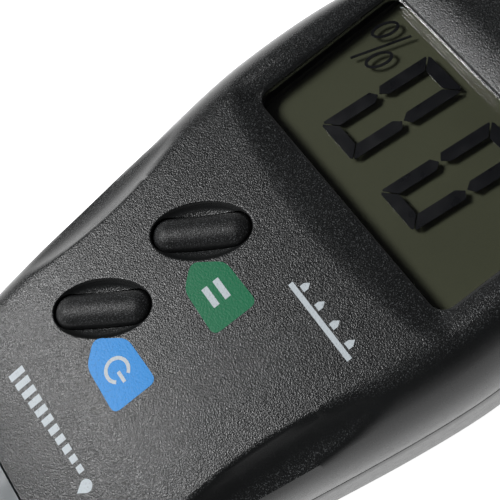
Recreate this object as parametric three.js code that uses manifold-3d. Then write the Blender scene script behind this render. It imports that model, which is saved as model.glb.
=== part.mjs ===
// Pin-type moisture meter, lying on its back: face up (+Z), probe pins towards +Y,
// the display reading along +X. Millimetres. The origin is under the middle of the body's box.
import * as THREE from 'three';
import { mergeVertices } from 'three/addons/utils/BufferGeometryUtils.js';
import Module from 'manifold-3d';

const wasm = await Module();
wasm.setup();

// ---------------------------------------------------------------- driving dimensions
const LENGTH = 158;
const WIDTH = 64.2;
const HEIGHT = 27;
const WALL = 2;
const GAP = 0.3;                      // clearance between neighbouring pieces

const REAR_Y = -LENGTH / 2;           // rounded end under the display
const TIP_Y = LENGTH / 2;             // closed end of the cap
const WIDEST_Y = -32;
const SEAM_Y = 31;                    // where the cap meets the case
const SEAM_HALF = 23;                 // half width there
const SPLIT_Z = 13.5;                 // parting line between the two shells
const FACE_EDGE = { height: 10, width: 7 };
const BACK_EDGE = { height: 3, width: 2 };
const SLOPE_Y = 4;                    // the face starts to fall towards the cap here
const SEAM_TOP = 24.8;                // face height at the cap seam
const SEAM_BOTTOM = 1.2;
const BACK_RISE_Y = 14;

const NECK = { half: 20.9, z0: 3.3, z1: 22.5, y1: 45, corner: 4 };
const CAP = { wall: 1.8, endTop: 21.5, endBottom: 3.8, endWall: 2.4, edge: { height: 5.5, width: 4 } };

const WINDOW = { half: 21.9, y0: -57.1, y1: -31, corner: 2.2, rimZ: 25.8 };
const BEZEL = { side: 2.6, top: 6.6 };
// The clear window: a raised middle inside the opening and a flange bonded under its lip.
const PANE = { z0: 24, flangeZ: 24.6, z1: 25.3, flange: 1.6, lipZ: 24.9 };

const GLASS = { half: 21.6, y0: -58.6, y1: -29.5, frontY0: -60.1, frontY1: -28 };
const GLASS_Z = { front0: 22.6, front1: 23.4, rear0: 21.5, rear1: 22.3, film0: 20.9, film1: 21.2 };
const LCD_WALL = { thick: 1.2, corner: 3, top: 22.9 };
const ZEBRA = { half: 21, depth: 1 };

// The thumb grips: a round bar of this radius lies along each edge of the face and is cut away.
const GRIP = { radius: 9.5, x: 28.6, z: 32.8, taper: 0.08, midY: -1.5, halfLength: 19, lift: 2.1 };
const GRIP_LEAN = { x: 0.46, z: 0.89 };       // the way the bar leaves the face at its ends

const BUTTON = { x: 9.45, turn: 55, length: 15.4, width: 5.4, top: 27.7, rise: 2.05 };
const BUTTON_FLANGE = { reach: 0.9, z0: 23.7, z1: 24.4 };
const HOLD_Y = -12.3;
const POWER_Y = 6;
const DISH = { long: 7.9, short: 4.55, depth: 1.5 };

const BOARD = { z0: 19.4, z1: 20.6 };
// Right half of the board's outline, from the rear to the probe end.
const BOARD_EDGE = [[18, -61.8], [25, -57], [25, -30], [18, -24], [18, 17], [15, 19], [15, 26.2]];
const SWITCH = { half: 3, top: 22.6, pocket: 1.8, pocketZ: 21.2 };
const PLUNGER = { radius: 1.4, z0: 22.1, z1: 23.4 };
const BATTERY = { half: 13.1, y0: -28.5, y1: 20, z0: 1.9, z1: 18.9 };
const STUD = { z: 10, height: 3, socket: 4.2 };
const STUDS = [{ x: -6.3, radius: 3.6 }, { x: 6.3, radius: 2.9 }];
const SNAP = { half: 12.6, z0: 3.4, z1: 17, depth: 5, overlap: 2.6 };
const LEAD_RADIUS = 0.5;
const LEAD_ROUTE = [[2.5, 21.6, 17.75], [4.5, 21.8, 17.95], [7, 23, 18.2], [9.5, 24, 18.45], [11, 24.2, 18.5]];
const TRAY = { thick: 1.5, z0: 1, z1: 12 };
const DOOR = { half: 15, y0: -32, y1: 26, z0: GAP, z1: 1.7, corner: 3 };

const PIN_X = [-13.5, -4.5, 4.5, 13.5];
const PIN_Z = 12.9;
const BLOCK = { half: 18.6, z0: 5.6, z1: 20.2, y0: 26.8, y1: 57, noseHalf: 17, flange: 0.8 };
const PIN_TIP_Y = 66.5;
const PIN = { root: 46, thread: 1.5, collar: 2.6, collarEnd: 2, needle: 1, point: 3 };
const PIN_BORE = { radius: 1.8, y0: 44.5, length: 14 };
const TERMINAL = { half: 0.8, y0: 24.5, y1: 45.3, z0: 18.3, z1: 19.1, foot: 12 };
const TERMINAL_SLOT = { half: 1.2, y1: 45.6, z0: 17.9, footY: 43.6, footZ: 11.5 };

const SCREWS = [[-19, -65.5], [19, -65.5], [-19, 22.5], [19, 22.5]];
const SCREW = { head: 2.6, shank: 1.35, headZ0: 2.6, headZ1: 4.4, topZ: 17.5 };
const RECESS = { reach: 1.6, half: 0.4, depth: 0.8 };
const BOSS = { radius: 3.2, bore: 1.7, counterbore: 3.1, rearTop: 11.7, frontFoot: 12 };
const LIP = { width: 1.6, below: 3, above: 1.6 };       // the ledge that locates the two shells

// ---------------------------------------------------------------- finishes
const finish = (color, roughness, metalness = 0, extra = {}) =>
  new THREE.MeshStandardMaterial({ color, roughness, metalness, ...extra });

const FINISH = {
  shell: finish(0x3b3e3f, 0.55),
  button: finish(0x26282a, 0.5),
  cap: finish(0x6f777b, 0.35),
  pane: finish(0xdfe4dc, 0.05, 0, { transparent: true, opacity: 0.25 }),
  glass: finish(0x8c8f74, 0.1),
  reflector: finish(0x70735a, 0.6),
  inner: finish(0x202224, 0.6),
  board: finish(0x1f6b3a, 0.5),
  steel: finish(0xb9bcc0, 0.3, 1),
  brass: finish(0xc9a24a, 0.35, 1),
  rubber: finish(0x55585a, 0.8),
  battery: finish(0x9aa0a5, 0.35, 0.6),
  red: finish(0xb02222, 0.5),
  black: finish(0x161616, 0.5),
};

// ---------------------------------------------------------------- solids
const group = new THREE.Group();

/** A three.js geometry as a manifold solid. */
function solid(geometry) {
  const bare = geometry.clone();
  bare.deleteAttribute('normal');
  bare.deleteAttribute('uv');
  const merged = mergeVertices(bare, 1e-4);
  return new wasm.Manifold(new wasm.Mesh({
    numProp: 3,
    vertProperties: new Float32Array(merged.attributes.position.array),
    triVerts: new Uint32Array(merged.index.array),
  }));
}

/** Adds a manifold solid to the model as a named mesh. */
function part(name, body, material) {
  const { vertProperties, triVerts } = body.getMesh();
  const geometry = new THREE.BufferGeometry();
  geometry.setAttribute('position', new THREE.BufferAttribute(new Float32Array(vertProperties), 3));
  geometry.setIndex(new THREE.BufferAttribute(new Uint32Array(triVerts), 1));
  geometry.computeVertexNormals();
  const mesh = new THREE.Mesh(geometry, material);
  mesh.name = name;
  group.add(mesh);
  return mesh;
}

const union = (bodies) => bodies.reduce((sum, body) => sum.add(body));

/** A box between two corners. */
function box(x0, x1, y0, y1, z0, z1) {
  const geometry = new THREE.BoxGeometry(x1 - x0, y1 - y0, z1 - z0);
  geometry.translate((x0 + x1) / 2, (y0 + y1) / 2, (z0 + z1) / 2);
  return solid(geometry);
}

/** A shape in the XY plane, extruded between two heights. */
function prism(shape, z0, z1, curveSegments = 10) {
  const geometry = new THREE.ExtrudeGeometry(shape, { depth: z1 - z0, bevelEnabled: false, curveSegments });
  geometry.translate(0, 0, z0);
  return solid(geometry);
}

/** A shape in the XY plane as a pillow: extruded between two heights with round edges. */
function pillow(shape, z0, z1, edge, bevelSegments = 4) {
  const geometry = new THREE.ExtrudeGeometry(shape, {
    depth: z1 - z0 - 2 * edge.height,
    bevelThickness: edge.height,
    bevelSize: edge.width,
    bevelOffset: -edge.width,
    bevelSegments,
    curveSegments: 10,
  });
  geometry.translate(0, 0, z0 + edge.height);
  return solid(geometry);
}

/** An upright cylinder. */
function post(x, y, radius, z0, z1, sides = 20) {
  const geometry = new THREE.CylinderGeometry(radius, radius, z1 - z0, sides);
  geometry.rotateX(Math.PI / 2);
  geometry.translate(x, y, (z0 + z1) / 2);
  return solid(geometry);
}

/** A rectangle with round corners. */
function roundedRect(x0, x1, y0, y1, r) {
  const shape = new THREE.Shape();
  shape.moveTo(x0 + r, y0);
  shape.lineTo(x1 - r, y0);
  shape.absarc(x1 - r, y0 + r, r, -Math.PI / 2, 0);
  shape.lineTo(x1, y1 - r);
  shape.absarc(x1 - r, y1 - r, r, 0, Math.PI / 2);
  shape.lineTo(x0 + r, y1);
  shape.absarc(x0 + r, y1 - r, r, Math.PI / 2, Math.PI);
  shape.lineTo(x0, y0 + r);
  shape.absarc(x0 + r, y0 + r, r, Math.PI, 1.5 * Math.PI);
  return shape;
}

/** A profile of (y, z) points, extruded across the whole width. */
function acrossWidth(points) {
  const shape = new THREE.Shape(points.map(([y, z]) => new THREE.Vector2(y, z)));
  const geometry = new THREE.ExtrudeGeometry(shape, { depth: WIDTH + 4, bevelEnabled: false });
  // The shape's x becomes Y and its y becomes Z.
  geometry.applyMatrix4(new THREE.Matrix4().makeBasis(
    new THREE.Vector3(0, 1, 0), new THREE.Vector3(0, 0, 1), new THREE.Vector3(1, 0, 0)));
  geometry.translate(-WIDTH / 2 - 2, 0, 0);
  return solid(geometry);
}

/** An arc of (y, z) points easing from one height to another, level at the start. */
function easedArc(y0, z0, y1, z1, steps = 6) {
  const points = [];
  for (let i = 0; i <= steps; i += 1) {
    const t = i / steps;
    points.push([y0 + (y1 - y0) * t, z0 + (z1 - z0) * t * t]);
  }
  return points;
}

// ---------------------------------------------------------------- outlines
/** Plan outline of the case, moved inwards by inset. It runs on past the cap seam, to be cut off. */
function caseOutline(inset) {
  const w = WIDTH / 2 - inset;
  const neck = SEAM_HALF - inset;
  const rear = REAR_Y + inset;
  const shape = new THREE.Shape();
  shape.moveTo(0, rear);
  shape.bezierCurveTo(16, rear, w, rear + 5, w, WIDEST_Y);
  shape.bezierCurveTo(w, -20, w - 5.5, 8, neck, SEAM_Y);
  shape.lineTo(neck, SEAM_Y + 12);
  shape.lineTo(-neck, SEAM_Y + 12);
  shape.lineTo(-neck, SEAM_Y);
  shape.bezierCurveTo(-w + 5.5, 8, -w, -20, -w, WIDEST_Y);
  shape.bezierCurveTo(-w, rear + 5, -16, rear, 0, rear);
  return shape;
}

/** Plan outline of the cap, moved inwards by inset. It starts before the cap seam, to be cut off. */
function capOutline(inset, yEnd) {
  const w = SEAM_HALF - inset;
  const shape = new THREE.Shape();
  shape.moveTo(-w, SEAM_Y - 12);
  shape.lineTo(w, SEAM_Y - 12);
  shape.lineTo(w, SEAM_Y);
  shape.bezierCurveTo(w - 1.4, SEAM_Y + 15, w - 2, yEnd - 20, w - 3.4, yEnd - 9);
  shape.bezierCurveTo(w - 5, yEnd - 1.5, w - 12, yEnd, 0, yEnd);
  shape.bezierCurveTo(-w + 12, yEnd, -w + 5, yEnd - 1.5, -w + 3.4, yEnd - 9);
  shape.bezierCurveTo(-w + 2, yEnd - 20, -w + 1.4, SEAM_Y + 15, -w, SEAM_Y);
  shape.lineTo(-w, SEAM_Y - 12);
  return shape;
}

/** Side profile of the case, cut off at yEnd: level face, falling to the cap seam. */
function caseSide(inset, yEnd) {
  const face = easedArc(SLOPE_Y, HEIGHT - inset, SEAM_Y, SEAM_TOP - inset);
  const back = easedArc(BACK_RISE_Y, inset, SEAM_Y, SEAM_BOTTOM + inset, 4);
  const profile = [[REAR_Y - 1, HEIGHT - inset], [REAR_Y - 1, inset], ...back, ...face.reverse()];
  return acrossWidth(profile).intersect(box(-WIDTH, WIDTH, -LENGTH, yEnd, -5, HEIGHT + 5));
}

const frontHalf = (zCut) => box(-WIDTH, WIDTH, -LENGTH, LENGTH, zCut, HEIGHT + 5);
const rearHalf = (zCut) => box(-WIDTH, WIDTH, -LENGTH, LENGTH, -5, zCut);

// ---------------------------------------------------------------- shared cutters
/** The concave thumb grip on one side: a round bar sunk along the edge of the face. */
function gripCutter(side, extra) {
  const stations = 10;
  const reach = 1.3;
  const points = [];
  for (let i = 0; i <= stations; i += 1) {
    const t = reach * (2 * (i / stations) - 1);
    const y = GRIP.midY + t * GRIP.halfLength;
    const rise = GRIP.lift * t * t;
    const x = GRIP.x - GRIP.taper * (y - GRIP.midY) + GRIP_LEAN.x * rise;
    points.push(new THREE.Vector3(side * x, y, GRIP.z + GRIP_LEAN.z * rise));
  }
  const ring = new THREE.Shape();
  ring.absarc(0, 0, GRIP.radius + extra, 0, 2 * Math.PI);
  return solid(new THREE.ExtrudeGeometry(ring, {
    extrudePath: new THREE.CatmullRomCurve3(points), steps: 14, curveSegments: 16, bevelEnabled: false,
  }));
}

/** A slot or bar with round ends, centred on a button and turned like it. */
function buttonBar(y, clearance, z0, z1) {
  const r = BUTTON.width / 2 + clearance;
  const reach = BUTTON.length / 2 - BUTTON.width / 2;
  const shape = new THREE.Shape();
  shape.moveTo(-reach, -r);
  shape.lineTo(reach, -r);
  shape.absarc(reach, 0, r, -Math.PI / 2, Math.PI / 2);
  shape.lineTo(-reach, r);
  shape.absarc(-reach, 0, r, Math.PI / 2, 1.5 * Math.PI);
  return prism(shape, z0, z1).rotate([0, 0, BUTTON.turn]).translate([BUTTON.x, y, 0]);
}

/** The oval scoop round a button. */
function dishCutter(y) {
  const geometry = new THREE.SphereGeometry(1, 24, 12);
  geometry.rotateX(Math.PI / 2);
  geometry.scale(DISH.long, DISH.short, DISH.depth);
  geometry.rotateZ(THREE.MathUtils.degToRad(BUTTON.turn));
  geometry.translate(BUTTON.x, y, HEIGHT);
  return solid(geometry);
}

/** A frustum between two rounded rectangles: the sloping surround of the display window. */
function bezelCutter() {
  const slope = HEIGHT - WINDOW.rimZ;
  const shape = roundedRect(-WINDOW.half, WINDOW.half, WINDOW.y0, WINDOW.y1, WINDOW.corner);
  const geometry = new THREE.ExtrudeGeometry(shape, {
    depth: slope, bevelThickness: slope, bevelSize: BEZEL.side, bevelSegments: 1, curveSegments: 5,
  });
  geometry.translate(0, 0, HEIGHT);
  const sides = solid(geometry);
  const ramp = acrossWidth([
    [WINDOW.y1 - 1, WINDOW.rimZ], [WINDOW.y1, WINDOW.rimZ], [WINDOW.y1 + BEZEL.top, HEIGHT + 0.01],
    [WINDOW.y1 - 1, HEIGHT + 0.01],
  ]);
  const keep = WINDOW.half + BEZEL.side;
  return sides.add(ramp.intersect(box(-keep, keep, WINDOW.y1 - 1, WINDOW.y1 + BEZEL.top, 0, HEIGHT + 1)));
}

// ---------------------------------------------------------------- shells
const neckShape = (inset) => roundedRect(-NECK.half + inset, NECK.half - inset,
  NECK.z0 + inset, NECK.z1 - inset, Math.max(NECK.corner - inset, 1));

/** The spigot that the cap slides over, between two stations along Y. */
function neckBar(inset, y0, y1) {
  const geometry = new THREE.ExtrudeGeometry(neckShape(inset), {
    depth: y1 - y0, bevelEnabled: false, curveSegments: 6,
  });
  // The shape's y becomes Z, and its depth runs along Y.
  geometry.applyMatrix4(new THREE.Matrix4().makeBasis(
    new THREE.Vector3(-1, 0, 0), new THREE.Vector3(0, 0, 1), new THREE.Vector3(0, 1, 0)));
  geometry.translate(0, y0, 0);
  return solid(geometry);
}

/** A band that follows the case outline, between two insets and two heights. */
function rimBand(insetOut, insetIn, z0, z1) {
  return prism(caseOutline(insetOut), z0, z1)
    .subtract(prism(caseOutline(insetIn), z0 - 1, z1 + 1))
    .intersect(box(-WIDTH, WIDTH, -LENGTH, SEAM_Y - WALL - GAP, z0 - 1, z1 + 1));
}

/** The outline of the display opening, grown outwards, between two heights. */
const windowPrism = (grow, z0, z1) => prism(roundedRect(-WINDOW.half - grow, WINDOW.half + grow,
  WINDOW.y0 - grow, WINDOW.y1 + grow, WINDOW.corner + grow), z0, z1, 5);

const grips = () => union([gripCutter(-1, 0), gripCutter(1, 0)]);
const gripWalls = () => union([gripCutter(-1, WALL), gripCutter(1, WALL)]);

function frontShell() {
  const cut = SPLIT_Z + GAP / 2;
  const skin = pillow(caseOutline(0), -10, HEIGHT, FACE_EDGE).intersect(caseSide(0, SEAM_Y));
  const room = pillow(caseOutline(WALL), -10, HEIGHT - WALL - 0.2, FACE_EDGE)
    .intersect(caseSide(WALL + 0.2, SEAM_Y - WALL))
    .subtract(gripWalls());
  const neck = neckBar(0, SEAM_Y - WALL, NECK.y1);
  const bosses = union(SCREWS.map(([x, y]) => post(x, y, BOSS.radius, BOSS.frontFoot, HEIGHT - WALL)));
  let body = skin.add(neck).subtract(room).subtract(neckBar(WALL, SEAM_Y - 2 * WALL, NECK.y1 + 1));
  body = body.add(bosses.intersect(skin));
  body = body.subtract(union(SCREWS.map(([x, y]) => post(x, y, BOSS.bore, 5, SCREW.topZ + 1, 14))));
  body = body.subtract(grips()).subtract(bezelCutter());
  body = body.subtract(windowPrism(0, 20, HEIGHT + 1)).subtract(windowPrism(PANE.flange + GAP, 20, PANE.lipZ));
  for (const y of [HOLD_Y, POWER_Y]) {
    body = body.subtract(dishCutter(y)).subtract(buttonBar(y, GAP, 20, HEIGHT + 2));
  }
  return body.intersect(frontHalf(cut));
}

function rearShell() {
  const cut = SPLIT_Z - GAP / 2;
  const skin = pillow(caseOutline(0), 0, HEIGHT + 10, BACK_EDGE).intersect(caseSide(0, SEAM_Y));
  const room = pillow(caseOutline(WALL), WALL, HEIGHT + 10, BACK_EDGE)
    .intersect(caseSide(WALL, SEAM_Y - WALL));
  const neck = neckBar(0, SEAM_Y - WALL, NECK.y1);
  let body = skin.add(neck).subtract(room).subtract(neckBar(WALL, SEAM_Y - 2 * WALL, NECK.y1 + 1))
    .intersect(rearHalf(cut));
  body = body.add(rimBand(WALL - 0.1, WALL + LIP.width, SPLIT_Z - LIP.below, cut)
    .add(rimBand(WALL + GAP, WALL + LIP.width, SPLIT_Z - LIP.below, SPLIT_Z + LIP.above))
    .subtract(neckBar(-1.5, 20, NECK.y1)));
  body = body.add(union(SCREWS.map(([x, y]) => post(x, y, BOSS.radius, 0.5, BOSS.rearTop))));
  body = body.add(batteryTray());
  body = body.subtract(union(SCREWS.map(([x, y]) => post(x, y, BOSS.bore, -1, 20, 14))));
  body = body.subtract(union(SCREWS.map(([x, y]) => post(x, y, BOSS.counterbore, -1, SCREW.headZ1 + GAP, 16))));
  body = body.subtract(union(SCREWS.map(([x, y]) => post(x, y, BOSS.radius + GAP, BOSS.rearTop, 20))));
  return body.subtract(prism(doorShape(GAP), -1, DOOR.z1 + 1));
}

const doorShape = (clearance) => roundedRect(-DOOR.half - clearance, DOOR.half + clearance,
  DOOR.y0 - clearance, DOOR.y1 + clearance, DOOR.corner + clearance);

/** Upright walls round the battery, standing on the back of the rear shell. */
function batteryTray() {
  const half = DOOR.half + GAP;
  const outer = half + TRAY.thick;
  const y0 = DOOR.y0 - GAP;
  const railEnd = BATTERY.y1 - 4;
  return box(-outer, -half, y0, railEnd, TRAY.z0, TRAY.z1)
    .add(box(half, outer, y0, railEnd, TRAY.z0, TRAY.z1))
    .add(box(-outer, outer, y0 - TRAY.thick, y0, TRAY.z0, TRAY.z1));
}

// ---------------------------------------------------------------- cap, door and probe
function protectiveCap() {
  const y0 = SEAM_Y + GAP;
  const side = (inset, yStart, yEnd) => acrossWidth([
    [yStart, SEAM_BOTTOM + inset], [yEnd, CAP.endBottom + inset],
    [yEnd, CAP.endTop - inset], [yStart, SEAM_TOP - inset],
  ]);
  const skin = pillow(capOutline(0, TIP_Y), SEAM_BOTTOM, SEAM_TOP, CAP.edge).intersect(side(0, y0, TIP_Y + 1));
  const sleeve = neckBar(-GAP, y0 - 1, NECK.y1 + 1);
  const reach = TIP_Y - CAP.endWall;
  const room = pillow(capOutline(CAP.wall + 0.2, reach), SEAM_BOTTOM + CAP.wall, SEAM_TOP - CAP.wall,
    CAP.edge).intersect(side(CAP.wall, y0 - 1, reach));
  return skin.subtract(sleeve).subtract(room);
}

function batteryDoor() {
  const plate = prism(doorShape(0), DOOR.z0, DOOR.z1);
  const grooves = union([0, 1, 2, 3, 4].map((i) =>
    box(-6, 6, DOOR.y0 + 4 + 2 * i, DOOR.y0 + 5 + 2 * i, DOOR.z0 - 1, DOOR.z0 + 0.5)));
  const hook = box(-5, 5, DOOR.y0 + 0.4, DOOR.y0 + 1.6, DOOR.z1 - 0.5, 6);
  return plate.subtract(grooves).add(hook);
}

function pinBlock() {
  const bar = (grow, y0, y1) => {
    const g = new THREE.BoxGeometry(2 * (BLOCK.half + grow), y1 - y0, BLOCK.z1 - BLOCK.z0 + 2 * grow);
    g.translate(0, (y0 + y1) / 2, (BLOCK.z0 + BLOCK.z1) / 2);
    return solid(g);
  };
  const shoulder = SEAM_Y - WALL - GAP;
  const nose = box(-BLOCK.noseHalf, BLOCK.noseHalf, NECK.y1 - 1, BLOCK.y1, BLOCK.z0 + 1, BLOCK.z1 - 1);
  let body = bar(0, BLOCK.y0, NECK.y1 + GAP).intersect(neckBar(WALL + GAP, 0, LENGTH)).add(nose)
    .add(neckBar(WALL - BLOCK.flange, BLOCK.y0, shoulder));
  body = body.subtract(union(PIN_X.map((x) => pinBore(x))));
  return body.subtract(union(PIN_X.map((x) => terminalSlot(x))));
}

/** An upright cylinder laid along Y. */
function rod(x, z, radius, y0, y1) {
  const geometry = new THREE.CylinderGeometry(radius, radius, y1 - y0, 16);
  geometry.translate(x, (y0 + y1) / 2, z);
  return solid(geometry);
}

const pinBore = (x) => rod(x, PIN_Z, PIN_BORE.radius, PIN_BORE.y0, PIN_BORE.y0 + PIN_BORE.length);

/** Room for one brass terminal: a groove in the top of the block and a shaft down to the pin. */
function terminalSlot(x) {
  const { half, y1, z0, footY, footZ } = TERMINAL_SLOT;
  return box(x - half, x + half, BLOCK.y0 - 1, y1, z0, BLOCK.z1 + 3)
    .add(box(x - half, x + half, footY, y1, footZ, z0 + 0.1));
}

/** A hardened needle with a collar, screwed into the block. */
function probePin() {
  const profile = [
    [0, PIN.root], [PIN.thread, PIN.root], [PIN.thread, BLOCK.y1 + GAP], [PIN.collar, BLOCK.y1 + GAP],
    [PIN.collar, BLOCK.y1 + PIN.collarEnd], [PIN.needle, BLOCK.y1 + PIN.collarEnd + 0.5],
    [PIN.needle, PIN_TIP_Y - PIN.point], [0, PIN_TIP_Y],
  ].map(([r, y]) => new THREE.Vector2(r, y));
  return solid(new THREE.LatheGeometry(profile, 16));
}

/** A brass strip from the root of a pin up to the circuit board. */
function probeTerminal() {
  const { half, y0, y1, z0, z1, foot } = TERMINAL;
  const thick = z1 - z0;
  return box(-half, half, y0, y1, z0, z1).add(box(-half, half, y1 - thick, y1, foot, z1));
}

// ---------------------------------------------------------------- buttons and switches
function button(y) {
  const capsule = new THREE.Shape();
  const r = BUTTON.width / 2;
  const reach = BUTTON.length / 2 - r;
  capsule.moveTo(-reach, -r);
  capsule.lineTo(reach, -r);
  capsule.absarc(reach, 0, r, -Math.PI / 2, Math.PI / 2);
  capsule.lineTo(-reach, r);
  capsule.absarc(-reach, 0, r, Math.PI / 2, 1.5 * Math.PI);
  const { reach: brim, z0, z1 } = BUTTON_FLANGE;
  const dome = pillow(capsule, 20, BUTTON.top, { height: BUTTON.rise, width: 0.88 * r }, 6)
    .rotate([0, 0, BUTTON.turn]).translate([BUTTON.x, y, 0])
    .intersect(frontHalf((z0 + z1) / 2));
  return dome.add(buttonBar(y, brim, z0, z1));
}

function switchBody(y) {
  const { half, top, pocket, pocketZ } = SWITCH;
  return box(BUTTON.x - half, BUTTON.x + half, y - half, y + half, BOARD.z1 + GAP, top)
    .subtract(post(BUTTON.x, y, pocket, pocketZ, top + 1, 16));
}

const switchPlunger = (y) => post(BUTTON.x, y, PLUNGER.radius, PLUNGER.z0, PLUNGER.z1, 16);

// ---------------------------------------------------------------- display and board
/** A soft conductive strip that joins the front glass to the board. */
const zebraStrip = (y) => box(-ZEBRA.half, ZEBRA.half, y, y + ZEBRA.depth, BOARD.z1 + GAP, GLASS_Z.rear1);

/** An upright wall round the edge of the display glass. */
function lcdFrame() {
  const { thick, corner, top } = LCD_WALL;
  const half = GLASS.half + GAP;
  const y0 = GLASS.frontY0 - GAP;
  const y1 = GLASS.frontY1 + GAP;
  const outline = roundedRect(-half - thick, half + thick, y0 - thick, y1 + thick, corner);
  return prism(outline, BOARD.z1 + GAP, top, 5).subtract(box(-half, half, y0, y1, BOARD.z0, HEIGHT));
}

function circuitBoard() {
  const shape = new THREE.Shape();
  shape.moveTo(-BOARD_EDGE[0][0], BOARD_EDGE[0][1]);
  for (const [x, y] of BOARD_EDGE) {
    shape.lineTo(x, y);
  }
  for (const [x, y] of BOARD_EDGE.toReversed()) {
    shape.lineTo(-x, y);
  }
  return prism(shape, BOARD.z0, BOARD.z1);
}

/** A short insulated wire from the battery snap up to the underside of the board. */
function batteryLead(side) {
  const ring = new THREE.Shape();
  ring.absarc(0, 0, LEAD_RADIUS, 0, 2 * Math.PI);
  const route = new THREE.CatmullRomCurve3(LEAD_ROUTE.map(([x, y, z]) => new THREE.Vector3(side * x, y, z)));
  return solid(new THREE.ExtrudeGeometry(ring, {
    extrudePath: route, steps: 10, curveSegments: 5, bevelEnabled: false,
  }));
}

function batteryBlock() {
  const shape = roundedRect(-BATTERY.half, BATTERY.half, BATTERY.z0, BATTERY.z1, 2);
  const geometry = new THREE.ExtrudeGeometry(shape, {
    depth: BATTERY.y1 - BATTERY.y0 - STUD.height, bevelEnabled: false, curveSegments: 4,
  });
  geometry.applyMatrix4(new THREE.Matrix4().makeBasis(
    new THREE.Vector3(-1, 0, 0), new THREE.Vector3(0, 0, 1), new THREE.Vector3(0, 1, 0)));
  geometry.translate(0, BATTERY.y0, 0);
  const top = BATTERY.y1 - GAP;
  return solid(geometry)
    .add(union(STUDS.map(({ x, radius }) => rod(x, STUD.z, radius, top - STUD.height, top))));
}

/** The snap connector over the battery's two studs. */
function batterySnap() {
  const y0 = BATTERY.y1 - SNAP.overlap;
  const sockets = STUDS.map(({ x }) => rod(x, STUD.z, STUD.socket, y0 - 1, BATTERY.y1 + 0.6));
  return box(-SNAP.half, SNAP.half, y0, y0 + SNAP.depth, SNAP.z0, SNAP.z1).subtract(union(sockets));
}

function caseScrew(x, y) {
  const profile = [
    [0, SCREW.headZ0], [SCREW.head, SCREW.headZ0], [SCREW.head, SCREW.headZ1],
    [SCREW.shank, SCREW.headZ1], [SCREW.shank, SCREW.topZ - 1], [0, SCREW.topZ],
  ].map(([r, z]) => new THREE.Vector2(r, z));
  const geometry = new THREE.LatheGeometry(profile, 14);
  geometry.rotateX(Math.PI / 2);
  geometry.translate(x, y, 0);
  const { reach, half, depth } = RECESS;
  return solid(geometry)
    .subtract(box(x - reach, x + reach, y - half, y + half, 0, SCREW.headZ0 + depth))
    .subtract(box(x - half, x + half, y - reach, y + reach, 0, SCREW.headZ0 + depth));
}

// ---------------------------------------------------------------- assembly
part('front_shell', frontShell(), FINISH.shell);
part('rear_shell', rearShell(), FINISH.shell);
part('protective_cap', protectiveCap(), FINISH.cap);
part('battery_door', batteryDoor(), FINISH.shell);
part('display_window', windowPrism(-GAP, PANE.z0, PANE.z1)
  .add(windowPrism(PANE.flange, PANE.z0, PANE.flangeZ)), FINISH.pane);

const sheet = (y0, y1, z0, z1) => box(-GLASS.half, GLASS.half, y0, y1, z0, z1);
part('lcd_front_glass', sheet(GLASS.frontY0, GLASS.frontY1, GLASS_Z.front0, GLASS_Z.front1), FINISH.glass);
part('lcd_rear_glass', sheet(GLASS.y0, GLASS.y1, GLASS_Z.rear0, GLASS_Z.rear1), FINISH.glass);
part('lcd_reflector', sheet(GLASS.y0, GLASS.y1, GLASS_Z.film0, GLASS_Z.film1), FINISH.reflector);
part('lcd_frame', lcdFrame(), FINISH.inner);
part('zebra_strip_upper', zebraStrip(GLASS.y1 + GAP), FINISH.rubber);
part('zebra_strip_lower', zebraStrip(GLASS.y0 - GAP - ZEBRA.depth), FINISH.rubber);

part('circuit_board', circuitBoard(), FINISH.board);
part('controller_chip', box(-12, -4, -18, -10, BOARD.z1 + GAP, 22.3), FINISH.black);
part('crystal_can', box(-12, -7.5, -5, 3, BOARD.z1 + GAP, 23.2), FINISH.steel);
part('trimmer', box(-3, 1.5, 10, 14.5, BOARD.z1 + GAP, 22.8), FINISH.red);
part('capacitor', post(-9, 11, 2.5, BOARD.z1 + GAP, 24), FINISH.inner);

for (const [name, y] of [['hold', HOLD_Y], ['power', POWER_Y]]) {
  part(`${name}_button`, button(y), FINISH.button);
  part(`${name}_switch`, switchBody(y), FINISH.inner);
  part(`${name}_plunger`, switchPlunger(y), FINISH.steel);
}

part('pin_block', pinBlock(), FINISH.inner);
PIN_X.forEach((x, i) => {
  const pin = part(`probe_pin_${i + 1}`, probePin(), FINISH.steel);
  pin.position.set(x, 0, PIN_Z);
  const terminal = part(`probe_terminal_${i + 1}`, probeTerminal(), FINISH.brass);
  terminal.position.set(x, 0, 0);
});

part('battery', batteryBlock(), FINISH.battery);
part('battery_snap', batterySnap(), FINISH.black);
part('battery_lead_red', batteryLead(1), FINISH.red);
part('battery_lead_black', batteryLead(-1), FINISH.black);
SCREWS.forEach(([x, y], i) => part(`case_screw_${i + 1}`, caseScrew(x, y), FINISH.steel));

export default group;
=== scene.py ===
"""A pin-type moisture meter lying on its back, in the CAD model's frame.

Lengths in this script are millimetres, turned into metres where a mesh is made.
+X is to the right of the display, +Y points to the probe pins, +Z comes out of the face.
"""

import math

import bmesh
import bpy
import numpy as np
from mathutils import Matrix, Vector
from mathutils.geometry import tessellate_polygon


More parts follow.
